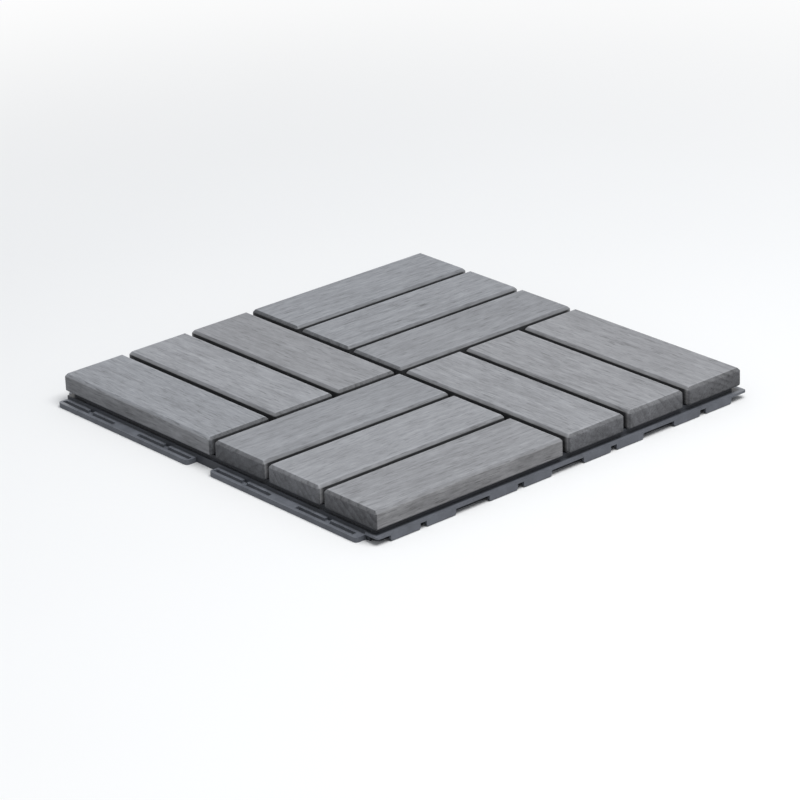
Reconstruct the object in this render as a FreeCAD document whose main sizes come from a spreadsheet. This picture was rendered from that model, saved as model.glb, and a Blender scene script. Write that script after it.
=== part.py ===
# Interlocking deck tile: twelve slats in a basket weave on a moulded base that clips to its neighbours.
# Millimetres, +Z up. The origin is the middle of the tile on the plane that the feet stand on.
# Seen from above, the left (-X) and back (+Y) sides carry slotted flanges, and the front (-Y) and
# right (+X) sides carry the tabs that drop into the slots of the next tile.
import FreeCAD, Part
import os
import Sketcher

doc = FreeCAD.newDocument("deck_tile")

# Driving sizes

sheet = doc.addObject("Spreadsheet::Sheet", "Sizes")

SIZES = [
    ("slat_width", 46.0),
    ("slat_thick", 12.0),
    ("slat_gap", 4.0),
    ("slat_top_round", 2.0),
    ("slat_corner_bevel", 1.8),
    ("slat_foot_bevel", 1.2),
    ("base_height", 8.3),
    ("rib_thick", 2.0),
    ("rib_lift", 1.5),
    ("wall_thick", 2.2),
    ("wall_inset", 3.0),
    ("wall_corner_round", 4.0),
    ("skirt_inset", 1.0),
    ("boss_width", 10.5),
    ("rim_top", 5.4),
    ("rim_thick", 1.4),
    ("rim_reach", 2.2),
    ("rim_corner_round", 1.8),
    ("return_reach", 1.0),
    ("return_length", 11.0),
    ("tab_thick", 2.0),
    ("tab_length", 22.4),
    ("tab_slit", 4.8),
    ("tab_lift", 0.4),
    ("tab_end_bevel", 0.8),
    ("pair_pitch", 75.5),
    ("pair_shift_left", 6.5),
    ("pair_shift_back", 1.1),
    ("flange_height", 3.2),
    ("slot_side_clearance", 0.4),
    ("slot_end_clearance", 0.9),
    ("rail_width", 2.4),
    ("rail_end_wall", 1.4),
    ("flange_end_pad", 4.0),
    ("rail_corner_round", 2.2),
    ("ledge_notch", 4.5),
    ("divider_width", 3.0),
    ("divider_height", 1.6),
    ("screw_radius", 1.75),
    ("screw_head_radius", 3.5),
    ("screw_head_thick", 2.0),
    ("screw_head_lift", 0.8),
    ("screw_bite", 8.0),
    ("screw_hole_clearance", 0.3),
    ("head_pocket_clearance", 0.4),
    ("pilot_clearance", 0.05),
    ("pilot_spare_depth", 0.5),
]

for row, (alias, value) in enumerate(SIZES, start=1):
    sheet.set("A%d" % row, alias)
    sheet.set("B%d" % row, str(value))
    sheet.setAlias("B%d" % row, alias)
doc.recompute()

SLATS_PER_QUARTER = 3
PAIRS_PER_SIDE = 4
BOSS_SIDES = 8
SCREW_SIDES = 12

# Sizes worked out from the driving ones, as text for the expressions

S = "Sizes."
SLAT_PITCH = f"({S}slat_width + {S}slat_gap)"
SLAT_LENGTH = f"({SLATS_PER_QUARTER} * {S}slat_width + {SLATS_PER_QUARTER - 1} * {S}slat_gap)"
DECK_HALF = f"({SLAT_LENGTH} + {S}slat_gap / 2)"
JOINT_GAP = f"{S}slat_gap"
RIB_PITCH = f"({SLAT_PITCH} / 2)"
WALL_FACE = f"({DECK_HALF} - {S}wall_inset)"
SKIRT_FACE = f"({DECK_HALF} - {S}skirt_inset)"
RIM_FACE = f"({DECK_HALF} + {S}rim_reach)"
RETURN_FACE = f"({DECK_HALF} + {S}return_reach)"
TAB_BACK = f"({RIM_FACE} - {S}tab_thick)"
SLOT_NEAR = f"({DECK_HALF} + {JOINT_GAP} - {S}rim_reach - {S}slot_side_clearance)"
SLOT_FAR = f"({DECK_HALF} + {JOINT_GAP} - {S}rim_reach + {S}tab_thick + {S}slot_side_clearance)"
RAIL_FACE = f"({SLOT_FAR} + {S}rail_width)"
PAIR_HALF = f"({S}tab_slit / 2 + {S}tab_length)"
SLOT_HALF = f"({PAIR_HALF} + {S}slot_end_clearance)"


# Building blocks

def bind(obj, **expressions):
    """Ties properties of an object to expressions; a double underscore stands for a dot."""
    for prop, text in expressions.items():
        obj.setExpression(prop.replace("__", "."), text)
    return obj


def block(name, x0, x1, y0, y1, z0, z1):
    """A plain block between two limits on each axis."""
    obj = doc.addObject("Part::Box", name)
    return bind(obj, Length=f"({x1}) - ({x0})", Width=f"({y1}) - ({y0})", Height=f"({z1}) - ({z0})",
                Placement__Base__x=x0, Placement__Base__y=y0, Placement__Base__z=z0)


def prism(name, sides, radius, x, y, z0, z1):
    """An upright prism with regular sides; the radius reaches to its corners."""
    obj = doc.addObject("Part::Prism", name)
    obj.Polygon = sides
    obj.Placement.Rotation = FreeCAD.Rotation(FreeCAD.Vector(0, 0, 1), 180.0 / sides)
    return bind(obj, Circumradius=radius, Height=f"({z1}) - ({z0})",
                Placement__Base__x=x, Placement__Base__y=y, Placement__Base__z=z0)


def screw_barrel(name, radius, x, y, z0, z1):
    """A round of the screw or of the hole that takes it, in a few flats to keep two dozen of them light."""
    return prism(name, SCREW_SIDES, radius, x, y, z0, z1)


def fuse(name, shapes):
    obj = doc.addObject("Part::MultiFuse", name)
    obj.Shapes = shapes
    obj.Refine = True
    return obj


def cut(name, base, tool):
    obj = doc.addObject("Part::Cut", name)
    obj.Base = base
    obj.Tool = tool
    obj.Refine = True
    return obj


def diagonal_twin(name, source):
    """The same piece mirrored across the diagonal that swaps -X with +Y and -Y with +X."""
    obj = doc.addObject("Part::Mirroring", name)
    obj.Source = source
    obj.Base = FreeCAD.Vector(0, 0, 0)
    obj.Normal = FreeCAD.Vector(1, 1, 0)
    return obj


def origin_plane(body, role):
    return next(plane for plane in body.Origin.OriginFeatures if plane.Role == role)


def rectangle_sketch(body, name, x0, x1, y0, y1, height="0"):
    """A rectangle on the level plane of a body, each side tied to its place."""
    sketch = body.newObject("Sketcher::SketchObject", name)
    sketch.AttachmentSupport = (origin_plane(body, "XY_Plane"), [""])
    sketch.MapMode = "FlatFace"
    sketch.setExpression("AttachmentOffset.Base.z", height)
    corners = [FreeCAD.Vector(x, y, 0) for x, y in ((-20, -10), (20, -10), (20, 10), (-20, 10))]
    for k in range(4):
        sketch.addGeometry(Part.LineSegment(corners[k], corners[(k + 1) % 4]), False)
    for k in range(4):
        sketch.addConstraint(Sketcher.Constraint("Coincident", k, 2, (k + 1) % 4, 1))
    for line, way in ((0, "Horizontal"), (1, "Vertical"), (2, "Horizontal"), (3, "Vertical")):
        sketch.addConstraint(Sketcher.Constraint(way, line))
    places = (("left", "DistanceX", 0, 1, x0), ("right", "DistanceX", 0, 2, x1),
              ("near", "DistanceY", 0, 1, y0), ("far", "DistanceY", 2, 1, y1))
    for label, kind, line, point, text in places:
        index = sketch.addConstraint(Sketcher.Constraint(kind, -1, 1, line, point, 1.0))
        sketch.renameConstraint(index, label)
        sketch.setExpression("Constraints." + label, text)
    return sketch


def padded_body(name, x0, x1, y0, y1, z0, z1):
    """A body whose first feature is a rectangle padded between two levels."""
    body = doc.addObject("PartDesign::Body", name)
    sketch = rectangle_sketch(body, name + "_outline", x0, x1, y0, y1, z0)
    pad = body.newObject("PartDesign::Pad", name + "_pad")
    pad.Profile = sketch
    pad.setExpression("Length", f"({z1}) - ({z0})")
    doc.recompute()
    return body


def dress_edges(body, kind, name, wanted, size_property, size):
    """Rounds or chamfers the edges of the body's tip that pass a test on their two ends."""
    base = body.Tip
    picked = []
    for number, edge in enumerate(base.Shape.Edges, start=1):
        if len(edge.Vertexes) == 2 and wanted(edge.Vertexes[0].Point, edge.Vertexes[1].Point):
            picked.append("Edge%d" % number)
    feature = body.newObject(kind, name)
    feature.Base = (base, picked)
    feature.setExpression(size_property, size)
    doc.recompute()
    return feature


def upright(a, b):
    return abs(a.x - b.x) < 1e-6 and abs(a.y - b.y) < 1e-6


# Slats

def build_slat(name, x, y, turned):
    """One slat, drawn along Y about its own middle; its underside is at the seat of the base."""
    half_width = f"{S}slat_width / 2"
    half_length = f"{SLAT_LENGTH} / 2"
    body = padded_body(name, f"-({half_width})", half_width, f"-({half_length})", half_length,
                       "0", f"{S}slat_thick")
    top = sheet.get("slat_thick")
    dress_edges(body, "PartDesign::Chamfer", name + "_corners", upright, "Size", f"{S}slat_corner_bevel")
    dress_edges(body, "PartDesign::Fillet", name + "_top",
                lambda a, b: abs(a.z - top) < 1e-6 and abs(b.z - top) < 1e-6, "Radius", f"{S}slat_top_round")
    dress_edges(body, "PartDesign::Chamfer", name + "_foot",
                lambda a, b: abs(a.z) < 1e-6 and abs(b.z) < 1e-6, "Size", f"{S}slat_foot_bevel")
    if turned:
        body.Placement.Rotation = FreeCAD.Rotation(FreeCAD.Vector(0, 0, 1), 90)
    bind(body, Placement__Base__x=x, Placement__Base__y=y, Placement__Base__z=f"{S}base_height")
    return body


QUARTERS = [
    ("left", -1, 1, False),
    ("back", 1, 1, True),
    ("right", 1, -1, False),
    ("front", -1, -1, True),
]


def slat_screws(side_x, side_y, turned, k):
    """Two screws under one slat, at rib crossings near its ends, as expressions for X and Y."""
    places = []
    for m in (0, SLATS_PER_QUARTER - 1):
        across = f"({k} + 0.5) * {SLAT_PITCH}"
        along = f"({m} + 0.5) * {SLAT_PITCH}"
        x, y = (along, across) if turned else (across, along)
        places.append((f"{side_x} * {x}", f"{side_y} * {y}"))
    return places


def screw_places():
    """The places of all the screws, quarter by quarter."""
    places = []
    for quarter, side_x, side_y, turned in QUARTERS:
        for k in range(SLATS_PER_QUARTER):
            places += slat_screws(side_x, side_y, turned, k)
    return places


def drill_pilots(name, body, places):
    """A slat with its blind pilot holes, bored up from the underside at the places of its screws."""
    top = f"{S}base_height + {S}screw_bite + {S}pilot_spare_depth"
    holes = [screw_barrel("%s_pilot_%d" % (name, k), f"{S}screw_radius + {S}pilot_clearance", x, y,
                          f"{S}base_height - 1", top) for k, (x, y) in enumerate(places)]
    drilled = doc.addObject("Part::Cut", name)
    drilled.Base = body
    drilled.Tool = fuse(name + "_pilots", holes)
    return drilled


def build_slats():
    """Three slats in each quarter, turned a right angle from one quarter to the next."""
    middle = f"({DECK_HALF} + {S}slat_gap / 2) / 2"
    slats = []
    for quarter, side_x, side_y, turned in QUARTERS:
        for k in range(SLATS_PER_QUARTER):
            across = f"({k} + 0.5) * {SLAT_PITCH}"
            x, y = (middle, across) if turned else (across, middle)
            name = "slat_%s_%d" % (quarter, k + 1)
            body = build_slat(name + "_body", f"{side_x} * ({x})", f"{side_y} * ({y})", turned)
            slats.append(drill_pilots(name, body, slat_screws(side_x, side_y, turned, k)))
    return slats


# Screws

HEAD_LOW = f"{S}screw_head_lift"
HEAD_TOP = f"({HEAD_LOW} + {S}screw_head_thick)"
SCREW_TIP = f"({S}base_height + {S}screw_bite)"


def build_screws():
    """Pan-head wood screws, driven upwards through the base into the slats."""
    screws = []
    for k, (x, y) in enumerate(screw_places(), start=1):
        head = screw_barrel("screw_head_%d" % k, f"{S}screw_head_radius", x, y, HEAD_LOW, HEAD_TOP)
        shank = screw_barrel("screw_shank_%d" % k, f"{S}screw_radius", x, y, HEAD_TOP, SCREW_TIP)
        screws.append(fuse("screw_%d" % k, [head, shank]))
    group = doc.addObject("Part::Compound", "screws")
    group.Links = screws
    return group


# Base moulding

def build_frame():
    """The outer wall, rounded at its corners, that stands back under the edge of the slats."""
    wall = padded_body("wall_outer", f"-{WALL_FACE}", WALL_FACE, f"-{WALL_FACE}", WALL_FACE,
                       "0", f"{S}base_height")
    dress_edges(wall, "PartDesign::Fillet", "wall_corners", upright, "Radius", f"{S}wall_corner_round")
    inner = f"({WALL_FACE} - {S}wall_thick)"
    return cut("wall", wall, block("wall_inner", f"-{inner}", inner, f"-{inner}", inner,
                                   "-1", f"{S}base_height + 1"))


def build_ribs():
    """A lattice of ribs under the slats and their gaps, held clear of the ground so that it drains."""
    reach = f"({WALL_FACE} - {S}wall_thick / 2)"
    half = f"{S}rib_thick / 2"
    last = 2 * SLATS_PER_QUARTER - 1
    ribs = []
    for k in range(-last, last + 1):
        line = f"{k} * {RIB_PITCH}"
        ribs.append(block("rib_x_%d" % (k + last), f"-{reach}", reach, f"{line} - {half}", f"{line} + {half}",
                          f"{S}rib_lift", f"{S}base_height"))
        ribs.append(block("rib_y_%d" % (k + last), f"{line} - {half}", f"{line} + {half}", f"-{reach}", reach,
                          f"{S}rib_lift", f"{S}base_height"))
    return ribs


def build_feet():
    """Eight-sided pillars: the screw bosses, and a row of feet under the cross between the quarters."""
    places = screw_places() + [("0", "0")]
    for k in (-2, -1, 1, 2):
        places.append((f"{k} * {SLAT_PITCH}", "0"))
        places.append(("0", f"{k} * {SLAT_PITCH}"))
    corner = f"{S}boss_width / (2 * cos({180.0 / BOSS_SIDES} deg))"
    return [prism("pillar_%d" % k, BOSS_SIDES, corner, x, y, "0", f"{S}base_height")
            for k, (x, y) in enumerate(places, start=1)]


def build_screw_bores():
    """The clearance hole of each boss and the pocket for the screw's head, from the screws' own sizes."""
    bores = []
    for k, (x, y) in enumerate(screw_places(), start=1):
        bores.append(screw_barrel("bore_%d" % k, f"{S}screw_radius + {S}screw_hole_clearance", x, y,
                                  HEAD_TOP, f"{S}base_height + 1"))
        bores.append(screw_barrel("pocket_%d" % k, f"{S}screw_head_radius + {S}head_pocket_clearance", x, y,
                                  "-1", HEAD_TOP))
    return fuse("screw_bores", bores)


def pair_centre(k, shift):
    """Middle of a pair along the left side, numbered from the corner between the two flanges."""
    steps = (PAIRS_PER_SIDE - 1) / 2 - k
    return f"({steps} * {S}pair_pitch + {shift})"


def build_flange(tag, shift):
    """The left side: a skirt, a ledge, the slots and a rail, in two lengths with a notch between."""
    pieces = [block(tag + "_skirt", f"-{SKIRT_FACE}", f"-{WALL_FACE} + {S}wall_thick / 2",
                    f"-{WALL_FACE} + {S}wall_corner_round", f"{SKIRT_FACE}", "0", f"{S}rim_top")]
    cuts = []
    for segment in range(2):
        upper = pair_centre(2 * segment, shift)
        lower = pair_centre(2 * segment + 1, shift)
        y0 = f"{lower} - {SLOT_HALF} - {S}rail_end_wall - {segment} * {S}flange_end_pad"
        y1 = f"{upper} + {SLOT_HALF} + {S}rail_end_wall"
        name = "%s_length_%d" % (tag, segment)
        plate = padded_body(name, f"-{RAIL_FACE}", f"-{SKIRT_FACE} + {S}wall_thick / 2",
                            y0, y1, "0", f"{S}flange_height")
        far = plate.Shape.BoundBox.XMin
        dress_edges(plate, "PartDesign::Fillet", name + "_corners",
                    lambda a, b, far=far: upright(a, b) and abs(a.x - far) < 1e-6, "Radius",
                    f"{S}rail_corner_round")
        pieces.append(plate)
    for k in range(PAIRS_PER_SIDE):
        centre = pair_centre(k, shift)
        y0 = f"{centre} - {SLOT_HALF}"
        y1 = f"{centre} + {SLOT_HALF}"
        middle_low = f"{centre} - {S}divider_width / 2"
        middle_high = f"{centre} + {S}divider_width / 2"
        notch_low = f"{centre} - {S}ledge_notch / 2"
        notch_high = f"{centre} + {S}ledge_notch / 2"
        above = f"{S}flange_height + 1"
        name = "%s_%%s_%d" % (tag, k)
        cuts.append(block(name % "slot_low", f"-{SLOT_FAR}", f"-{SLOT_NEAR}", y0, middle_low, "-1", above))
        cuts.append(block(name % "slot_high", f"-{SLOT_FAR}", f"-{SLOT_NEAR}", middle_high, y1, "-1", above))
        cuts.append(block(name % "slot_middle", f"-{SLOT_FAR}", f"-{SLOT_NEAR}", middle_low, middle_high,
                          f"{S}divider_height", above))
        cuts.append(block(name % "notch", f"-{SLOT_NEAR}", f"-{SKIRT_FACE}", notch_low, notch_high,
                          f"{S}divider_height", above))
    return cut(tag, fuse(tag + "_blank", pieces), fuse(tag + "_cuts", cuts))


def build_tabs(tag, shift):
    """The front side: a thin rim with pairs of tabs under it, and its short return round the corner."""
    rim_low = f"{S}rim_top - {S}rim_thick"
    back = f"-{WALL_FACE} + {S}wall_thick / 2"
    rim = padded_body(tag + "_rim", f"-{RETURN_FACE}", RIM_FACE, f"-{RIM_FACE}", back, rim_low, f"{S}rim_top")
    front = rim.Shape.BoundBox.YMin
    dress_edges(rim, "PartDesign::Fillet", tag + "_rim_corners",
                lambda a, b: upright(a, b) and abs(a.y - front) < 1e-6, "Radius", f"{S}rim_corner_round")
    pieces = [rim, block(tag + "_return", f"-{RETURN_FACE}", back, back, f"-{RIM_FACE} + {S}return_length",
                         rim_low, f"{S}rim_top")]
    for k in range(PAIRS_PER_SIDE):
        centre = f"(-{pair_centre(k, shift)})"
        for side in (-1, 1):
            near = f"{centre} + {side} * {S}tab_slit / 2"
            far = f"{near} + {side} * {S}tab_length"
            x0, x1 = (far, near) if side < 0 else (near, far)
            name = "%s_tab_%d" % (tag, 2 * k + (side + 1) // 2)
            tab = padded_body(name, x0, x1, f"-{RIM_FACE}", f"-{TAB_BACK}", f"{S}tab_lift", f"{S}rim_top")
            low = tab.Shape.BoundBox.ZMin
            dress_edges(tab, "PartDesign::Chamfer", name + "_ends",
                        lambda a, b, low=low: abs(a.z - low) < 1e-6 and abs(b.z - low) < 1e-6
                        and abs(a.x - b.x) < 1e-6, "Size", f"{S}tab_end_bevel")
            pieces.append(tab)
    return fuse(tag, pieces)


def build_base():
    """One moulding: the left flange mates with right-hand tabs, the back flange with front tabs."""
    left = build_flange("flange_left", f"{S}pair_shift_left")
    back = diagonal_twin("flange_back", build_flange("flange_back_source", f"{S}pair_shift_back"))
    front = build_tabs("tabs_front", f"{S}pair_shift_back")
    right = diagonal_twin("tabs_right", build_tabs("tabs_right_source", f"{S}pair_shift_left"))
    solid = fuse("base_blank", [build_frame(), left, back, front, right] + build_ribs() + build_feet())
    return cut("base", solid, build_screw_bores())


# Whole tile

nodes = build_slats() + [build_base(), build_screws()]
doc.recompute()

for obj in doc.Objects:
    if "Invalid" in obj.State or "Error" in obj.State:
        raise RuntimeError("%s did not build: %s" % (obj.Label, obj.State))
for node in nodes:
    if node.Shape.isNull() or not node.Shape.isValid():
        raise RuntimeError("%s has no valid shape" % node.Label)

os.makedirs("parts", exist_ok=True)
for node in nodes:
    node.Shape.exportStep("parts/%s.step" % node.Label)
    print(node.Label, "solids", len(node.Shape.Solids), "volume %.0f" % node.Shape.Volume)
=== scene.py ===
"""Dresses the interlocking deck tile: stained slats, the moulded base and its screws, on a pale floor."""

import math
import random

import bmesh
import bpy
from bpy.props import FloatProperty, FloatVectorProperty, IntProperty, PointerProperty
from mathutils import Matrix, Quaternion, Vector


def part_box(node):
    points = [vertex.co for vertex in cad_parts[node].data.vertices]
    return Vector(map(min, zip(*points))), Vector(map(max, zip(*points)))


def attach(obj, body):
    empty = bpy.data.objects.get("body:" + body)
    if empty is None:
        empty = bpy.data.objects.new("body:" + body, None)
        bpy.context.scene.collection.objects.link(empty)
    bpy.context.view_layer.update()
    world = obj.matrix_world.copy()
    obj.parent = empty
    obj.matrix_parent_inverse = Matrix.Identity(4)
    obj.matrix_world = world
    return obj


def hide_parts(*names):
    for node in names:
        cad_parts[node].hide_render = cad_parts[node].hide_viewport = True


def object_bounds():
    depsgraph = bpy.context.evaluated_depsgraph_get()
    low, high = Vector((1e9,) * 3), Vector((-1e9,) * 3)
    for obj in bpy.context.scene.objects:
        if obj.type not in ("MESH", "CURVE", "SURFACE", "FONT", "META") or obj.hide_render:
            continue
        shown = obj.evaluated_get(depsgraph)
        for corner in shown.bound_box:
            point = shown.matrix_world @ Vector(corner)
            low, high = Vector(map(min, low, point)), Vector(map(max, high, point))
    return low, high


bl_info = {
    "name": "Interlocking Deck Tile",
    "version": (1, 0, 0),
    "blender": (4, 5, 0),
    "location": "3D View > Sidebar > Deck Tile",
    "description": "Slats, moulded base, screws and a studio stage for a clip-together deck tile",
    "category": "Object",
}

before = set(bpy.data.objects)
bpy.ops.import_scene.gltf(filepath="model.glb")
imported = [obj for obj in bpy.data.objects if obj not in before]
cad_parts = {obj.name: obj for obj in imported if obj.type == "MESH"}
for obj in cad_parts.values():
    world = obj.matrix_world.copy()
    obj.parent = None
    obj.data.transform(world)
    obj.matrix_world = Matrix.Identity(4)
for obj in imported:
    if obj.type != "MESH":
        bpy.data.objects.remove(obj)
CAD_BOX = [list(corner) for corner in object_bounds()]

# Places and sizes, in metres

QUARTERS = ("left", "back", "right", "front")
SLATS_PER_QUARTER = 3
SLAT_NODES = ["slat_%s_%d" % (quarter, k + 1) for quarter in QUARTERS for k in range(SLATS_PER_QUARTER)]
FIRST_LOW, FIRST_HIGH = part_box(SLAT_NODES[0])
SLAT_SIZE = FIRST_HIGH - FIRST_LOW
FIELD_EDGE = max(abs(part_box(node)[0][axis]) for node in SLAT_NODES for axis in (0, 1))
SCREW_RADIUS = 0.00175
SCREW_HEAD_RADIUS = 0.0035
SCREW_HEAD_THICK = 0.0020
# Points of the CAD's screws that lie nearer to each other than this belong to one screw
SCREWS_APART = 0.008
# Places that differ by less than this are the same
TOUCH = 1e-5
# Seeds of the random draws for the slats and for the turns of the screws
SLAT_SEED = 11
SCREW_SEED = 5

# Limits in materials

# Nearly all values of a noise texture lie in these spans, the wider one where it has fine detail
NOISE_SPAN = (0.3, 0.7)
GRAIN_SPAN = (0.28, 0.72)
# Z of a face's normal where the face counts as upright, as slanting and as level
UPRIGHT = 0.3
SLANTING = 0.72
LEVEL = 0.9
# How many times each part of the grain changes in a metre of wood: across, along and through it
RING_DRIFT = (22.0, 5.0, 22.0)
RING_FADING = (75.0, 10.0, 75.0)
FINE_FIBRES = (700.0, 90.0, 700.0)
BROAD_FIBRES = (240.0, 12.0, 240.0)
OPEN_PORES = (1100.0, 95.0, 1100.0)
SOFT_MOTTLE = (85.0, 36.0, 85.0)
# The fine fibres' share beside the broad ones, and how far rings stand out and pores sink in
FINE_SHARE = 0.62
RING_RELIEF = 0.25
PORE_RELIEF = 0.8
# How far in from the slats' outer edge the painted shade in the gaps starts, and where it is full
GAP_STARTS = 0.0010
GAP_FULL = 0.0045


# Settings

class DeckTileSlatSettings(bpy.types.PropertyGroup):
    edge_ease: FloatProperty(
        name="Top Edge", description="Width taken off the edges round the top of a slat",
        default=0.0021, min=0.0005, max=0.004, unit="LENGTH")
    corner_share: FloatProperty(
        name="Upright Corners",
        description="Width taken off the upright corners, as a share of the top edge's",
        default=0.65, min=0.1, max=1.0, subtype="FACTOR")
    foot_share: FloatProperty(
        name="Bottom Edge",
        description="Width taken off round the underside, as a share of the top edge's",
        default=0.6, min=0.1, max=1.0, subtype="FACTOR")
    edge_fullness: FloatProperty(
        name="Edge Fullness", description="Shape of the eased edges, from 0.25 for flat to 0.5 for round",
        default=0.29, min=0.25, max=0.5, subtype="FACTOR")
    cuts_along: IntProperty(
        name="Stretches Along", description="Number of stretches that the mesh has along a slat",
        default=16, min=1, max=64)
    cuts_across: IntProperty(
        name="Stretches Across", description="Number of stretches that the mesh has across a slat",
        default=5, min=1, max=32)
    stain: FloatVectorProperty(
        name="Stain", description="Colour of the grey stain on the faces of the slats",
        default=(0.266, 0.273, 0.291), subtype="COLOR", min=0.0, max=1.0)
    tone_spread: FloatProperty(
        name="Tone Spread", description="How much one slat may be lighter or darker than the next",
        default=0.07, min=0.0, max=0.5, subtype="FACTOR")
    ring_spacing: FloatProperty(
        name="Ring Spacing", description="Distance between growth rings",
        default=0.0042, min=0.001, max=0.02, unit="LENGTH")


class DeckTileBaseSettings(bpy.types.PropertyGroup):
    edge_break: FloatProperty(
        name="Edge Break", description="Width that the mould takes off the base's edges",
        default=0.00022, min=0.0, max=0.001, unit="LENGTH")
    plastic: FloatVectorProperty(
        name="Plastic", description="Colour of the moulded base",
        default=(0.034, 0.037, 0.043), subtype="COLOR", min=0.0, max=1.0)


class DeckTileScrewSettings(bpy.types.PropertyGroup):
    flanks: IntProperty(
        name="Sides", description="Number of flats round the head of a screw",
        default=32, min=8, max=64)
    head_round: FloatProperty(
        name="Head Round", description="Radius of the domed edge of the pan head",
        default=0.0011, min=0.0002, max=0.0018, unit="LENGTH")
    recess_width: FloatProperty(
        name="Recess Width", description="Width across the whole cross recess",
        default=0.0042, min=0.001, max=0.006, unit="LENGTH")
    recess_arm: FloatProperty(
        name="Recess Arm", description="Width of one arm of the cross recess",
        default=0.00095, min=0.0003, max=0.002, unit="LENGTH")
    recess_depth: FloatProperty(
        name="Recess Depth", description="Depth of the cross recess in a screw's head",
        default=0.0012, min=0.0002, max=0.0018, unit="LENGTH")


class DeckTileStageSettings(bpy.types.PropertyGroup):
    floor_size: FloatProperty(
        name="Floor Size", description="Width of the square floor",
        default=12.0, min=2.0, max=40.0, unit="LENGTH")
    clear_radius: FloatProperty(
        name="Shadow Radius", description="How far from the tile's middle the floor keeps its own shading",
        default=0.30, min=0.1, max=5.0, unit="LENGTH")
    white_radius: FloatProperty(
        name="White Radius", description="How far from the tile's middle the floor has turned plain white",
        default=1.1, min=0.2, max=6.0, unit="LENGTH")
    camera_place: FloatVectorProperty(
        name="Camera Place", description="Where the camera stands, as a corner view from above",
        default=(-1.279, -1.505, 0.830), subtype="XYZ", unit="LENGTH")
    camera_aim: FloatVectorProperty(
        name="Camera Aim", description="The point that the camera looks at",
        default=(-0.006, -0.006, 0.004), subtype="XYZ", unit="LENGTH")
    camera_roll: FloatProperty(
        name="Camera Roll", description="Turn of the camera about its own line of sight",
        default=math.radians(-2.26), subtype="ANGLE")
    lens: FloatProperty(
        name="Focal Length", description="Focal length of the camera in millimetres",
        default=156.0, min=20.0, max=400.0)
    key_power: FloatProperty(
        name="Key Power", description="Power of the large lamp overhead, in watts",
        default=34.0, min=0.0, max=500.0)
    sky_level: FloatProperty(
        name="Sky Level", description="Brightness of the surroundings that light the tile",
        default=0.45, min=0.0, max=2.0)


# Mesh helpers

def deselect_everything():
    if bpy.context.object and bpy.context.object.mode != "OBJECT":
        bpy.ops.object.mode_set(mode="OBJECT")
    bpy.ops.object.select_all(action="DESELECT")


def make_active(obj):
    deselect_everything()
    obj.select_set(True)
    bpy.context.view_layer.objects.active = obj


def settle(obj):
    """Puts a piece's place, turn and size into its mesh, so that the object sits at the origin."""
    make_active(obj)
    bpy.ops.object.transform_apply(location=True, rotation=True, scale=True)


def add_block(name, low, high):
    """A block between two corners, ready to be shaped in edit mode."""
    deselect_everything()
    bpy.ops.mesh.primitive_cube_add(size=1.0, location=(low + high) / 2)
    block = bpy.context.object
    block.name = name
    block.scale = high - low
    settle(block)
    return block


def add_round(name, sides, radius, low, high):
    """An upright cylinder about the Z axis between two heights."""
    deselect_everything()
    bpy.ops.mesh.primitive_cylinder_add(vertices=sides, radius=radius, depth=high - low,
                                        location=(0.0, 0.0, (low + high) / 2))
    made = bpy.context.object
    made.name = name
    settle(made)
    return made


def pick_level(height):
    """In edit mode, selects just the edges that lie at one height."""
    bpy.ops.mesh.select_mode(type="EDGE")
    bpy.ops.mesh.select_all(action="DESELECT")
    mesh = bmesh.from_edit_mesh(bpy.context.object.data)
    for edge in mesh.edges:
        if all(abs(vertex.co.z - height) < TOUCH for vertex in edge.verts):
            edge.select = True
    mesh.select_flush_mode()
    bmesh.update_edit_mesh(bpy.context.object.data)


def own_copy(source, name, matrix):
    """A copy of a piece with its own mesh, moved by changing the mesh and not the object."""
    mesh = source.data.copy()
    mesh.transform(matrix)
    mesh.name = name
    copy = bpy.data.objects.new(name, mesh)
    bpy.context.scene.collection.objects.link(copy)
    return copy


def smooth_below(angle):
    """Smooths the active piece, apart from the edges that turn by more than an angle in degrees."""
    bpy.ops.object.shade_smooth_by_angle(angle=math.radians(angle))


def keep_flats_flat(piece):
    """Lets large faces set the normals of the small ones beside them, so that flat faces shade as flat."""
    flats = piece.modifiers.new("keep_flats_flat", "WEIGHTED_NORMAL")
    flats.keep_sharp = True
    flats.weight = 100
    bpy.ops.object.modifier_apply(modifier=flats.name)


def give_material(piece, material):
    piece.data.materials.clear()
    piece.data.materials.append(material)


# Node helpers

def add_node(tree, kind, sockets=None, **settings):
    """Adds a node; sockets maps an input's name or number to a value, or to an output to link it with."""
    node = tree.nodes.new(kind)
    for name, value in settings.items():
        setattr(node, name, value)
    for key, value in (sockets or {}).items():
        if isinstance(value, bpy.types.NodeSocket):
            tree.links.new(value, node.inputs[key])
        else:
            node.inputs[key].default_value = value
    return node


def add_group(tree, group, sockets):
    return add_node(tree, "ShaderNodeGroup", sockets, node_tree=group)


def do_math(tree, operation, first, second=0.0):
    """One operation on two values; one that takes a single value doesn't read the second."""
    return add_node(tree, "ShaderNodeMath", {0: first, 1: second}, operation=operation).outputs[0]


def stretch(tree, vector, scale):
    return add_node(tree, "ShaderNodeVectorMath", {0: vector, 1: scale}, operation="MULTIPLY").outputs[0]


def split(tree, vector):
    """The X, Y and Z of a vector, as the named outputs of one node."""
    return add_node(tree, "ShaderNodeSeparateXYZ", {0: vector}).outputs


def surface_normal(tree):
    return split(tree, add_node(tree, "ShaderNodeNewGeometry").outputs["Normal"])


def from_middle(tree, place):
    """How far a place lies from the tile's middle, along X or Y, whichever is more."""
    apart = add_node(tree, "ShaderNodeVectorMath", {0: place}, operation="ABSOLUTE")
    sides = split(tree, apart.outputs[0])
    return do_math(tree, "MAXIMUM", sides["X"], sides["Y"])


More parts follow.
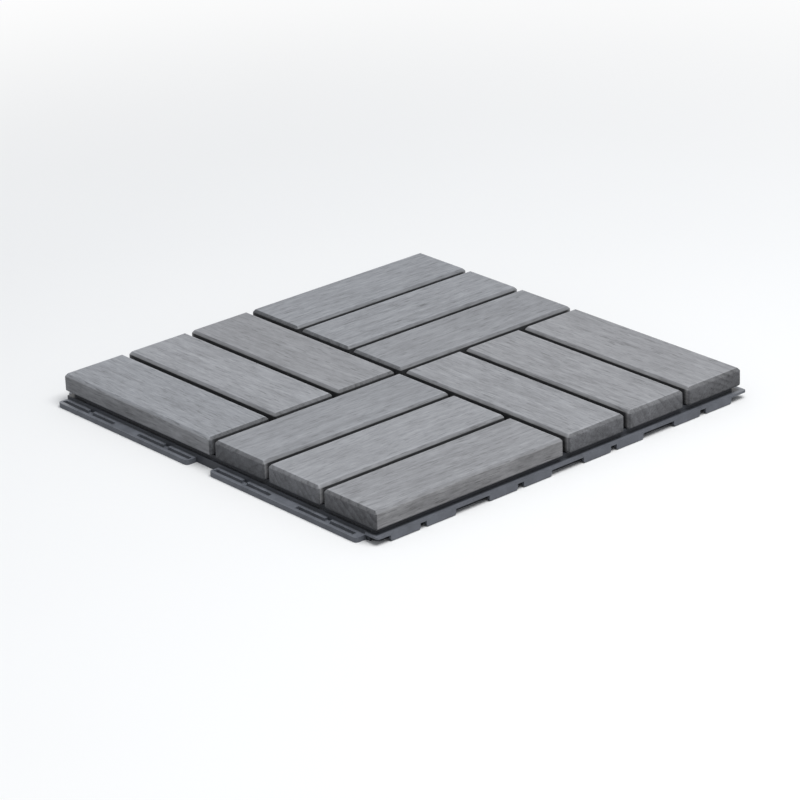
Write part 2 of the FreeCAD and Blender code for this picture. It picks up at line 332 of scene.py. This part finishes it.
def noise(tree, place, scale, detail=2.0, roughness=0.5):
    """Noise with as many changes per metre as scale says, for all axes or for each by itself."""
    scale = scale if isinstance(scale, tuple) else (scale, scale, scale)
    sockets = {"Vector": stretch(tree, place, scale), "Scale": 1.0, "Detail": detail, "Roughness": roughness}
    return add_node(tree, "ShaderNodeTexNoise", sockets).outputs["Fac"]


def spread(tree, value, low, high, to_low=0.0, to_high=1.0, soft=False):
    """Maps the values between low and high to another range, and holds the rest at its ends."""
    sockets = {"Value": value, "From Min": low, "From Max": high, "To Min": to_low, "To Max": to_high}
    kind = "SMOOTHSTEP" if soft else "LINEAR"
    return add_node(tree, "ShaderNodeMapRange", sockets, interpolation_type=kind).outputs[0]


def between(tree, share, low, high):
    """The value that lies a share of the way from low to high."""
    return spread(tree, share, 0.0, 1.0, low, high)


def scale_colour(tree, colour, factor):
    """Multiplies a colour by a value that changes over the surface."""
    scaled = add_node(tree, "ShaderNodeVectorMath", {0: colour, "Scale": factor}, operation="SCALE")
    return scaled.outputs[0]


def blend(tree, factor, first, second):
    """Mixes two colours, each the output of a node or three plain numbers."""
    first, second = ((*colour, 1.0) if isinstance(colour, tuple) else colour for colour in (first, second))
    return add_node(tree, "ShaderNodeMix", {0: factor, 6: first, 7: second}, data_type="RGBA").outputs[2]


def tint(colour, *shares):
    """A plain colour with its channels multiplied, each by its own share or all by the same one."""
    shares = shares * 3 if len(shares) == 1 else shares
    return tuple(channel * share for channel, share in zip(colour, shares))


def new_group(name, inputs, outputs):
    """An empty node group with float and vector inputs and float outputs, and its two end nodes."""
    group = bpy.data.node_groups.new(name, "ShaderNodeTree")
    for label, default in inputs:
        kind = "NodeSocketVector" if isinstance(default, tuple) else "NodeSocketFloat"
        socket = group.interface.new_socket(name=label, in_out="INPUT", socket_type=kind)
        socket.default_value = default
    for label in outputs:
        group.interface.new_socket(name=label, in_out="OUTPUT", socket_type="NodeSocketFloat")
    return group, group.nodes.new("NodeGroupInput").outputs, group.nodes.new("NodeGroupOutput").inputs


def new_material(name):
    material = bpy.data.materials.new(name)
    material.use_nodes = True
    tree = material.node_tree
    tree.nodes.clear()
    shader = tree.nodes.new("ShaderNodeBsdfPrincipled")
    output = tree.nodes.new("ShaderNodeOutputMaterial")
    tree.links.new(shader.outputs[0], output.inputs["Surface"])
    return material, tree, shader


def add_bump(tree, shader, height, strength, distance):
    bump = add_node(tree, "ShaderNodeBump", {"Height": height, "Strength": strength, "Distance": distance})
    tree.links.new(bump.outputs[0], shader.inputs["Normal"])


# Shared effects

def wood_grain_group():
    """Growth rings, fibres, pores and soft mottling in a block of wood whose grain runs along Y."""
    if "Wood grain" in bpy.data.node_groups:
        return bpy.data.node_groups["Wood grain"]
    group, given, made = new_group(
        "Wood grain",
        [("Place", (0, 0, 0)), ("Seed", (0, 0, 0)), ("Pith", (0, 0, 0)), ("Ring Spacing", 0.004),
         ("Wobble", 0.006)],
        ["Rings", "Fibres", "Pores", "Mottle", "Height"])
    moved = add_node(group, "ShaderNodeVectorMath", {0: given["Place"], 1: given["Seed"]}, operation="ADD")
    seeded = moved.outputs[0]

    drift = do_math(group, "SUBTRACT", noise(group, seeded, RING_DRIFT), 0.5)
    wander = do_math(group, "MULTIPLY", drift, given["Wobble"])
    rings = growth_rings(group, given, wander)
    fading = spread(group, noise(group, seeded, RING_FADING), 0.36, 0.64, to_low=0.08)
    rings = do_math(group, "MULTIPLY", rings, fading)

    fine = noise(group, seeded, FINE_FIBRES, detail=4.0, roughness=0.7)
    broad = noise(group, seeded, BROAD_FIBRES, detail=3.0, roughness=0.6)
    fibres = do_math(group, "ADD", do_math(group, "MULTIPLY", fine, FINE_SHARE),
                     do_math(group, "MULTIPLY", broad, 1.0 - FINE_SHARE))
    pores = spread(group, noise(group, seeded, OPEN_PORES, detail=1.0), 0.60, 0.70, soft=True)
    mottle = noise(group, seeded, SOFT_MOTTLE, detail=5.0, roughness=0.7)

    raised = do_math(group, "ADD", fibres, do_math(group, "MULTIPLY", rings, RING_RELIEF))
    relief = do_math(group, "SUBTRACT", raised, do_math(group, "MULTIPLY", pores, PORE_RELIEF))
    for label, value in (("Rings", rings), ("Fibres", fibres), ("Pores", pores), ("Mottle", mottle),
                         ("Height", relief)):
        group.links.new(value, made[label])
    return group


def growth_rings(group, given, wander):
    """Rings about the pith: dark where late wood builds up, with a sharp end at each winter."""
    from_pith = add_node(group, "ShaderNodeVectorMath", {0: given["Place"], 1: given["Pith"]},
                         operation="SUBTRACT")
    across = stretch(group, from_pith.outputs[0], (1.0, 0.0, 1.0))
    radius = add_node(group, "ShaderNodeVectorMath", {0: across}, operation="LENGTH").outputs["Value"]
    turns = do_math(group, "DIVIDE", do_math(group, "ADD", radius, wander), given["Ring Spacing"])
    late = add_node(group, "ShaderNodeValToRGB", {"Fac": do_math(group, "FRACT", turns)})
    early, full = late.color_ramp.elements
    early.position = 0.30
    early.color = (0, 0, 0, 1)
    full.position = 0.86
    full.color = (1, 1, 1, 1)
    late.color_ramp.elements.new(1.0).color = (0, 0, 0, 1)
    return late.outputs["Color"]


def gap_mask_group():
    """Inner is the field inside its outer edge, and In Gap its upright faces, which the wood darkens as
    painted shade.
    """
    if "Gap mask" in bpy.data.node_groups:
        return bpy.data.node_groups["Gap mask"]
    group, given, made = new_group("Gap mask", [("Place", (0, 0, 0))], ["In Gap", "Inner"])
    outermost = from_middle(group, given["Place"])
    inside = spread(group, outermost, FIELD_EDGE - GAP_STARTS, FIELD_EDGE - GAP_FULL, soft=True)
    flatness = do_math(group, "ABSOLUTE", surface_normal(group)["Z"])
    upright = spread(group, flatness, SLANTING, UPRIGHT, soft=True)
    group.links.new(do_math(group, "MULTIPLY", inside, upright), made["In Gap"])
    group.links.new(inside, made["Inner"])
    return group


def dust_and_light_group():
    """A fine uneven dust film with painted light on what stands out past the slats: thickest on flat faces
    that lie low.
    """
    if "Dust and painted light" in bpy.data.node_groups:
        return bpy.data.node_groups["Dust and painted light"]
    group, given, made = new_group(
        "Dust and painted light", [("Place", (0, 0, 0)), ("Shelter Edge", 0.148), ("Amount", 0.2)], ["Film"])
    place = given["Place"]
    past = do_math(group, "SUBTRACT", from_middle(group, place), given["Shelter Edge"])
    outside = spread(group, past, -0.0014, 0.0, soft=True)
    # More film next to the wood, under the slats' overhang: painted light that lifts the shade there.
    near_wood = spread(group, past, 0.0010, 0.0045, to_low=1.0, to_high=0.62)
    facing = surface_normal(group)
    # On upward faces the film is dust and painted light; its share on upright faces is painted light.
    upward = spread(group, facing["Z"], UPRIGHT, LEVEL, soft=True)
    outward = spread(group, do_math(group, "ABSOLUTE", facing["Z"]), LEVEL, UPRIGHT, soft=True)
    low_down = spread(group, split(group, place)["Z"], 0.0036, 0.0050, to_low=1.0, to_high=0.5)
    lying = do_math(group, "MULTIPLY", upward, do_math(group, "MULTIPLY", near_wood, low_down))
    wall_share = 0.58
    open_to = do_math(group, "ADD", do_math(group, "MULTIPLY", outward, wall_share), lying)
    cloud = spread(group, noise(group, place, 90.0, detail=5.0, roughness=0.65), *NOISE_SPAN, 0.55, 1.0)
    dust_and_light_share = do_math(group, "MULTIPLY", do_math(group, "MULTIPLY", outside, open_to), cloud)
    group.links.new(do_math(group, "MULTIPLY", dust_and_light_share, given["Amount"]), made["Film"])
    return group


# Materials

def place_in_slat(tree, coordinates, centre, turned, draw):
    """Object coordinates seen from a slat's middle, with Y along its grain, a little out of true."""
    tilt = draw.uniform(-0.01, 0.01)
    skew = draw.uniform(-0.025, 0.025)
    mapping = add_node(tree, "ShaderNodeMapping", {"Vector": coordinates}, vector_type="TEXTURE")
    mapping.inputs["Location"].default_value = centre
    mapping.inputs["Rotation"].default_value = (tilt, 0.0, (math.pi / 2 if turned else 0.0) + skew)
    return mapping.outputs[0]


def slat_grain(tree, place, settings, draw):
    """The grain of one slat, cut from its own place in the log, on either side of the pith."""
    pith = (draw.choice((-1.0, 1.0)) * draw.uniform(0.02, 0.07), 0.0,
            draw.choice((-1.0, 1.0)) * draw.uniform(0.03, 0.09))
    seed = tuple(draw.uniform(0.0, 40.0) for _ in range(3))
    spacing = settings.ring_spacing * draw.uniform(0.75, 1.35)
    wobble = draw.uniform(0.004, 0.010)
    return add_group(tree, wood_grain_group(), {
        "Place": place, "Seed": seed, "Pith": pith, "Ring Spacing": spacing, "Wobble": wobble}).outputs


def stain_colour(tree, place, masks, settings, draw):
    """The stain's colour: palest on top, duller on sawn sides and dark on end grain, with painted shade in
    the gaps.
    """
    level = 1.0 + draw.uniform(-1.0, 1.0) * settings.tone_spread
    warmth = draw.uniform(-0.012, 0.012)
    soak = draw.uniform(0.46, 0.64)
    face = tint(tint(settings.stain, level), 1 + warmth, 1.0, 1 - warmth)
    sawn = tint(face, 0.91, 0.89, 0.86)
    soaked = tint(face, soak)
    # Painted shade: the upright faces in the gaps between slats are made nearly black.
    painted_gap_shade = tint(face, 0.13)
    # The end grain is made darker towards the bottom.
    half_thick = SLAT_SIZE.z / 2
    darker_towards_bottom = spread(tree, split(tree, place)["Z"], -half_thick, half_thick, 0.76, 1.08)
    colour = blend(tree, masks["up"], sawn, face)
    colour = blend(tree, masks["end"], colour, scale_colour(tree, soaked, darker_towards_bottom))
    return blend(tree, masks["gap"], colour, painted_gap_shade)


def grain_shade(tree, grain, masks, contrast):
    """How light the grain leaves the stain, with rings strongest on the ends and fibres on sawn sides."""
    ring_depth = between(tree, masks["end"], 0.10, 0.40)
    shade = do_math(tree, "SUBTRACT", 1.04, do_math(tree, "MULTIPLY", grain["Rings"], ring_depth))
    streak = spread(tree, grain["Fibres"], *GRAIN_SPAN, -0.2 * contrast, 0.19 * contrast)
    coarseness = between(tree, masks["up"], 1.6, 1.0)
    streak = do_math(tree, "ADD", do_math(tree, "MULTIPLY", streak, coarseness), 1.0)
    shade = do_math(tree, "MULTIPLY", shade, streak)
    clouding = spread(tree, grain["Mottle"], *GRAIN_SPAN, 0.86, 1.14)
    shade = do_math(tree, "MULTIPLY", shade, clouding)
    pore_depth = 0.26
    return do_math(tree, "SUBTRACT", shade, do_math(tree, "MULTIPLY", grain["Pores"], pore_depth))


def stained_wood(name, centre, turned, settings, draw):
    """Grey-stained hardwood for one slat."""
    material, tree, shader = new_material(name)
    coordinates = add_node(tree, "ShaderNodeTexCoord").outputs["Object"]
    place = place_in_slat(tree, coordinates, centre, turned, draw)
    grain = slat_grain(tree, place, settings, draw)

    normal = surface_normal(tree)
    along = do_math(tree, "ABSOLUTE", normal["X" if turned else "Y"])
    gap = add_group(tree, gap_mask_group(), {"Place": coordinates}).outputs
    masks = {
        "end": spread(tree, along, 0.30, 0.66, soft=True),
        "up": spread(tree, normal["Z"], UPRIGHT, LEVEL, soft=True),
        "gap": gap["In Gap"],
    }
    colour = stain_colour(tree, place, masks, settings, draw)
    contrast = draw.uniform(1.1, 1.7)
    shade = grain_shade(tree, grain, masks, contrast)

    # Arrises and upright corners are made lighter: wear and painted highlight.
    edge_wear_and_highlight = add_node(tree, "ShaderNodeAttribute", attribute_name="edge_wear_and_highlight").outputs["Fac"]
    wear_and_highlight_lift = do_math(tree, "MULTIPLY", edge_wear_and_highlight, spread(tree, grain["Mottle"], 0.30, 0.6, 0.04, 0.20))
    # The eased bands inside the field, along the gaps, are made darker: painted shade.
    eased_band = add_node(tree, "ShaderNodeAttribute", attribute_name="eased_band").outputs["Fac"]
    gap_band_shade = between(tree, gap["Inner"], 1.0, 0.80)
    edge_shade = between(tree, eased_band, 1.0, gap_band_shade)
    shade = do_math(tree, "MULTIPLY", do_math(tree, "ADD", shade, wear_and_highlight_lift), edge_shade)
    tree.links.new(scale_colour(tree, colour, shade), shader.inputs["Base Color"])
    tree.links.new(spread(tree, grain["Fibres"], *NOISE_SPAN, 0.66, 0.54), shader.inputs["Roughness"])
    shader.inputs["Specular IOR Level"].default_value = 0.35
    add_bump(tree, shader, grain["Height"], strength=0.55, distance=0.00022)
    return material


def moulded_plastic(settings):
    """Black moulding with a fine spark-eroded texture, slight sheen, a little dust and painted light past
    the slats.
    """
    material, tree, shader = new_material("moulded_plastic")
    place = add_node(tree, "ShaderNodeTexCoord").outputs["Object"]
    # The dust film also paints light onto the plastic past the slats, most next to the wood, where the slats
    # shade it.
    dust_and_light = add_group(tree, dust_and_light_group(), {"Place": place, "Shelter Edge": FIELD_EDGE, "Amount": 0.95})
    dust_and_light_colour = (0.30, 0.32, 0.365)
    plastic = tuple(settings.plastic)
    worn = tint(plastic, 1.4, 1.4, 1.45)
    cloud = noise(tree, place, 40.0, detail=4.0)
    base = blend(tree, spread(tree, cloud, *NOISE_SPAN), plastic, worn)
    tree.links.new(blend(tree, dust_and_light.outputs["Film"], base, dust_and_light_colour), shader.inputs["Base Color"])
    tree.links.new(spread(tree, cloud, *NOISE_SPAN, 0.34, 0.46), shader.inputs["Roughness"])
    shader.inputs["Specular IOR Level"].default_value = 0.55
    add_bump(tree, shader, noise(tree, place, 2600.0), strength=0.35, distance=0.00006)
    return material


def zinc_plate():
    """Bright zinc plating with faint handling marks."""
    material, tree, shader = new_material("screw_steel")
    place = add_node(tree, "ShaderNodeTexCoord").outputs["Object"]
    dull = (0.50, 0.51, 0.52)
    bright = (0.68, 0.68, 0.66)
    cloud = noise(tree, place, 420.0, detail=4.0)
    tree.links.new(blend(tree, cloud, dull, bright), shader.inputs["Base Color"])
    tree.links.new(spread(tree, cloud, *NOISE_SPAN, 0.28, 0.42), shader.inputs["Roughness"])
    shader.inputs["Metallic"].default_value = 1.0
    add_bump(tree, shader, noise(tree, place, (6000.0, 6000.0, 900.0)), strength=0.2, distance=0.00003)
    return material


def pale_floor(clear_radius, white_radius):
    """A floor that keeps the tile's shadow, turns white away from it, and lights it as a mid grey would."""
    material, tree, shader = new_material("pale_floor")
    place = add_node(tree, "ShaderNodeTexCoord").outputs["Object"]
    path = add_node(tree, "ShaderNodeLightPath")
    seen = path.outputs["Is Camera Ray"]
    mid_grey = (0.42, 0.42, 0.43)
    tone = spread(tree, noise(tree, place, 3.0), *NOISE_SPAN, 0.985, 1.0)
    paper = scale_colour(tree, (0.93, 0.935, 0.94), tone)
    tree.links.new(blend(tree, seen, mid_grey, paper), shader.inputs["Base Color"])
    shader.inputs["Roughness"].default_value = 0.9
    shader.inputs["Specular IOR Level"].default_value = 0.1
    away = add_node(tree, "ShaderNodeVectorMath", {0: place}, operation="LENGTH").outputs["Value"]
    far = spread(tree, away, clear_radius, white_radius, soft=True)
    shown = do_math(tree, "MAXIMUM", seen, path.outputs["Is Glossy Ray"])
    white = add_node(tree, "ShaderNodeEmission", {"Color": (1.0, 1.0, 1.0, 1.0)})
    mix = add_node(tree, "ShaderNodeMixShader", {
        0: do_math(tree, "MULTIPLY", far, shown), 1: shader.outputs[0], 2: white.outputs[0]})
    tree.links.new(mix.outputs[0], tree.nodes["Material Output"].inputs["Surface"])
    return material


# Slats

def model_slat(settings):
    """One slat along Y about the origin, its edges eased by the plane and then cut into short stretches."""
    half = SLAT_SIZE / 2
    slat = add_block("slat_pattern", -half, half.copy())
    weigh_edges(slat.data, half.z, settings)
    eased = slat.modifiers.new("eased_edges", "BEVEL")
    eased.width = settings.edge_ease
    eased.segments = 5
    eased.profile = settings.edge_fullness
    eased.limit_method = "WEIGHT"
    bpy.ops.object.modifier_apply(modifier=eased.name)
    bpy.ops.object.mode_set(mode="EDIT")
    beyond_edge = 0.0012
    margin = settings.edge_ease + beyond_edge
    cut_across(1, settings.cuts_along, SLAT_SIZE.y, margin)
    cut_across(0, settings.cuts_across, SLAT_SIZE.x, margin)
    bpy.ops.mesh.select_all(action="SELECT")
    bpy.ops.mesh.normals_make_consistent(inside=False)
    bpy.ops.object.mode_set(mode="OBJECT")
    smooth_below(40.0)
    keep_flats_flat(slat)
    mark_edges(slat.data, settings)
    return slat


def weigh_edges(mesh, top, settings):
    """Gives each edge of a plain block its share of the bevel: full round the top, less elsewhere."""
    weights = mesh.attributes.new("bevel_weight_edge", "FLOAT", "EDGE")
    for edge, weight in zip(mesh.edges, weights.data):
        heights = [mesh.vertices[index].co.z for index in edge.vertices]
        if abs(heights[0] - heights[1]) > TOUCH:
            weight.value = settings.corner_share
        else:
            weight.value = 1.0 if abs(heights[0] - top) < TOUCH else settings.foot_share


def cut_across(axis, count, length, margin):
    """Cuts the mesh being edited near both ends of an axis and evenly between, so that faces stay short."""
    normal = [0.0, 0.0, 0.0]
    normal[axis] = 1.0
    inner = length - 2 * margin
    for k in range(count + 1):
        place = [0.0, 0.0, 0.0]
        place[axis] = inner * (k / count - 0.5)
        bpy.ops.mesh.select_all(action="SELECT")
        bpy.ops.mesh.bisect(plane_co=place, plane_no=normal)


def mark_edges(mesh, settings):
    """Stores two masks: one of arrises and upright corners, which the wood lightens as wear and painted
    highlight, and one of the bands between them, which it darkens inside the field as painted shade.
    """
    flat_from = 0.9995
    band_slack = 1.05
    on_flat = set()
    on_band = set()
    for face in mesh.polygons:
        level = max(abs(component) for component in face.normal) > flat_from
        (on_flat if level else on_band).update(face.vertices)
    reach = SLAT_SIZE.z / 2 - settings.edge_ease * band_slack
    edge_wear_and_highlight = []
    eased_band = []
    for vertex in mesh.vertices:
        banded = vertex.index in on_band
        worn = banded and (vertex.index in on_flat or abs(vertex.co.z) < reach)
        edge_wear_and_highlight.append(1.0 if worn else 0.0)
        eased_band.append(1.0 if banded and not worn else 0.0)
    for name, values in (("edge_wear_and_highlight", edge_wear_and_highlight), ("eased_band", eased_band)):
        mesh.attributes.new(name, "FLOAT", "POINT").data.foreach_set("value", values)


class DECKTILE_OT_slats(bpy.types.Operator):
    """Makes the twelve stained slats in place of the plain ones"""
    bl_idname = "decktile.slats"
    bl_label = "Slats"

    def execute(self, context):
        settings = context.scene.deck_tile_slats
        draw = random.Random(SLAT_SEED)
        pattern = model_slat(settings)
        for node in SLAT_NODES:
            low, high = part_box(node)
            centre = (low + high) / 2
            turned = (high - low).x > (high - low).y
            turn = Matrix.Rotation(math.pi / 2 if turned else 0.0, 4, "Z")
            flip = Matrix.Rotation(draw.choice((0.0, math.pi)), 4, "Z")
            slat = own_copy(pattern, node + "_stained", Matrix.Translation(centre) @ turn @ flip)
            give_material(slat, stained_wood(node + "_wood", centre, turned, settings, draw))
            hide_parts(node)
            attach(slat, "root")
        bpy.data.objects.remove(pattern)
        return {"FINISHED"}


# Base

class DECKTILE_OT_base(bpy.types.Operator):
    """Finishes the moulded base with softened edges and textured black plastic"""
    bl_idname = "decktile.base"
    bl_label = "Base"

    def execute(self, context):
        settings = context.scene.deck_tile_base
        base = own_copy(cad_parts["base"], "base_moulding", Matrix.Identity(4))
        make_active(base)
        bpy.ops.object.mode_set(mode="EDIT")
        bpy.ops.mesh.select_all(action="SELECT")
        bpy.ops.mesh.remove_doubles(threshold=2e-6)
        bpy.ops.mesh.dissolve_limited(angle_limit=math.radians(0.5))
        bpy.ops.object.mode_set(mode="OBJECT")
        if settings.edge_break > 0.0:
            softened = base.modifiers.new("edge_break", "BEVEL")
            softened.width = settings.edge_break
            softened.segments = 2
            softened.limit_method = "ANGLE"
            softened.angle_limit = math.radians(35.0)
            softened.use_clamp_overlap = True
            bpy.ops.object.modifier_apply(modifier=softened.name)
        smooth_below(50.0)
        keep_flats_flat(base)
        give_material(base, moulded_plastic(settings))
        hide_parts("base")
        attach(base, "root")
        return {"FINISHED"}


# Screws

def screw_places():
    """Where each screw stands, in order, from the loose solids of the CAD node."""
    near = {}
    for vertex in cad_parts["screws"].data.vertices:
        x, y = vertex.co.xy
        key = next((key for key in near if math.hypot(key[0] - x, key[1] - y) < SCREWS_APART), (x, y))
        near.setdefault(key, []).append((x, y))
    places = []
    for points in near.values():
        middle = [(min(values) + max(values)) / 2 for values in zip(*points)]
        places.append((round(middle[0], 6), round(middle[1], 6)))
    return sorted(places)


def model_recess(settings, low):
    """The cross-shaped punch that the recess is cut with: two tapered bars that meet at right angles."""
    overshoot = 0.0004
    taper = (0.55, 0.8, 1.0)
    half = settings.recess_width / 2
    arm = settings.recess_arm / 2
    bars = []
    for turn in (0.0, math.pi / 2):
        bar = add_block("recess_bar", Vector((-half, -arm, low - overshoot)),
                        Vector((half, arm, low + settings.recess_depth)))
        bpy.ops.object.mode_set(mode="EDIT")
        pick_level(low + settings.recess_depth)
        bpy.ops.transform.resize(value=taper, center_override=(0.0, 0.0, 0.0))
        bpy.ops.object.mode_set(mode="OBJECT")
        bar.rotation_euler.z = turn
        settle(bar)
        bars.append(bar)
    return bars


def model_screw(settings, low, tip):
    """One pan-head screw about the Z axis, its head at the bottom and its point at the top."""
    seat = low + SCREW_HEAD_THICK
    head = add_round("screw_pattern", settings.flanks, SCREW_HEAD_RADIUS, low, seat)
    bpy.ops.object.mode_set(mode="EDIT")
    pick_level(low)
    bpy.ops.mesh.bevel(offset=settings.head_round, segments=4, affect="EDGES")
    bpy.ops.object.mode_set(mode="OBJECT")
    for bar in model_recess(settings, low):
        make_active(head)
        punch = head.modifiers.new("recess", "BOOLEAN")
        punch.operation = "DIFFERENCE"
        punch.solver = "EXACT"
        punch.object = bar
        bpy.ops.object.modifier_apply(modifier=punch.name)
        bpy.data.objects.remove(bar)
    shank_sides = 16
    into_head = 0.0002
    point_share = 0.8
    shank = add_round("screw_shank", shank_sides, SCREW_RADIUS, seat - into_head, tip)
    bpy.ops.object.mode_set(mode="EDIT")
    pick_level(tip)
    bpy.ops.mesh.bevel(offset=SCREW_RADIUS * point_share, segments=1, affect="EDGES")
    bpy.ops.object.mode_set(mode="OBJECT")
    make_active(head)
    shank.select_set(True)
    bpy.ops.object.join()
    smooth_below(38.0)
    return head


class DECKTILE_OT_screws(bpy.types.Operator):
    """Makes the pan-head screws under the slats, plated and with a cross recess"""
    bl_idname = "decktile.screws"
    bl_label = "Screws"

    def execute(self, context):
        low, high = (corner.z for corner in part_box("screws"))
        pattern = model_screw(context.scene.deck_tile_screws, low, high)
        draw = random.Random(SCREW_SEED)
        screws = []
        for x, y in screw_places():
            turn = Matrix.Rotation(draw.uniform(0.0, math.pi / 2), 4, "Z")
            screws.append(own_copy(pattern, "screw", Matrix.Translation((x, y, 0.0)) @ turn))
        bpy.data.objects.remove(pattern)
        make_active(screws[0])
        for screw in screws[1:]:
            screw.select_set(True)
        bpy.ops.object.join()
        plated = bpy.context.object
        plated.name = "screws_plated"
        give_material(plated, zinc_plate())
        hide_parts("screws")
        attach(plated, "root")
        return {"FINISHED"}


# Stage

class DECKTILE_OT_stage(bpy.types.Operator):
    """Adds the pale floor, the lamp, the surroundings and the camera"""
    bl_idname = "decktile.stage"
    bl_label = "Stage"

    def execute(self, context):
        settings = context.scene.deck_tile_stage
        self.add_floor(settings)
        self.add_lamp(settings)
        self.set_surroundings(context.scene, settings)
        self.add_camera(context.scene, settings)
        context.scene.view_settings.view_transform = "Standard"
        return {"FINISHED"}

    def add_floor(self, settings):
        deselect_everything()
        bpy.ops.mesh.primitive_plane_add(size=settings.floor_size, location=(0.0, 0.0, CAD_BOX[0][2]))
        floor = bpy.context.object
        floor.name = "floor"
        settle(floor)
        give_material(floor, pale_floor(settings.clear_radius, settings.white_radius))

    def add_lamp(self, settings):
        """A large square lamp overhead, nearer to the tile's front side than to its left one."""
        deselect_everything()
        place = Vector((0.10, -0.85, 1.95))
        bpy.ops.object.light_add(type="AREA", location=place)
        key = bpy.context.object
        key.name = "key_lamp"
        key.data.shape = "SQUARE"
        key.data.size = 1.3
        key.data.energy = settings.key_power
        key.data.color = (1.0, 0.995, 0.985)
        key.rotation_euler = (-place).to_track_quat("-Z", "Y").to_euler()

    def set_surroundings(self, scene, settings):
        """A soft sky that lights the tile, and plain white where the camera or a reflection sees it."""
        world = bpy.data.worlds.new("surroundings")
        scene.world = world
        world.use_nodes = True
        tree = world.node_tree
        tree.nodes.clear()
        path = add_node(tree, "ShaderNodeLightPath")
        sky = {"Color": (0.93, 0.96, 1.0, 1.0), "Strength": settings.sky_level}
        lit = add_node(tree, "ShaderNodeBackground", sky)
        white = add_node(tree, "ShaderNodeBackground", {"Color": (1.0, 1.0, 1.0, 1.0)})
        shown = do_math(tree, "MAXIMUM", path.outputs["Is Camera Ray"], path.outputs["Is Glossy Ray"])
        mix = add_node(tree, "ShaderNodeMixShader", {0: shown, 1: lit.outputs[0], 2: white.outputs[0]})
        add_node(tree, "ShaderNodeOutputWorld", {"Surface": mix.outputs[0]})

    def add_camera(self, scene, settings):
        deselect_everything()
        place = Vector(settings.camera_place)
        line_of_sight = Vector(settings.camera_aim) - place
        bpy.ops.object.camera_add(location=place)
        camera = bpy.context.object
        camera.name = "camera"
        roll = Quaternion((0.0, 0.0, 1.0), settings.camera_roll)
        camera.rotation_euler = (line_of_sight.to_track_quat("-Z", "Y") @ roll).to_euler()
        camera.data.lens = settings.lens
        camera.data.sensor_width = 36.0
        camera.data.clip_end = 50.0
        scene.camera = camera


# Panel and registration

SETTINGS = {
    "deck_tile_slats": DeckTileSlatSettings,
    "deck_tile_base": DeckTileBaseSettings,
    "deck_tile_screws": DeckTileScrewSettings,
    "deck_tile_stage": DeckTileStageSettings,
}
OPERATORS = (DECKTILE_OT_slats, DECKTILE_OT_base, DECKTILE_OT_screws, DECKTILE_OT_stage)


class DECKTILE_PT_tools(bpy.types.Panel):
    """Lists the pieces of the deck tile and their settings"""
    bl_idname = "DECKTILE_PT_tools"
    bl_label = "Deck Tile"
    bl_space_type = "VIEW_3D"
    bl_region_type = "UI"
    bl_category = "Deck Tile"

    def draw(self, context):
        for operator, settings_name in zip(OPERATORS, SETTINGS):
            box = self.layout.box()
            box.operator(operator.bl_idname)
            settings = getattr(context.scene, settings_name)
            for name in settings.bl_rna.properties.keys():
                if name not in ("rna_type", "name"):
                    box.prop(settings, name)


CLASSES = (*SETTINGS.values(), *OPERATORS, DECKTILE_PT_tools)


def register():
    for each in CLASSES:
        bpy.utils.register_class(each)
    for name, kind in SETTINGS.items():
        setattr(bpy.types.Scene, name, PointerProperty(type=kind))


def unregister():
    for name in SETTINGS:
        delattr(bpy.types.Scene, name)
    for each in reversed(CLASSES):
        bpy.utils.unregister_class(each)


def main():
    register()
    bpy.ops.decktile.slats()
    bpy.ops.decktile.base()
    bpy.ops.decktile.screws()
    bpy.ops.decktile.stage()


if __name__ == "__main__":
    main()
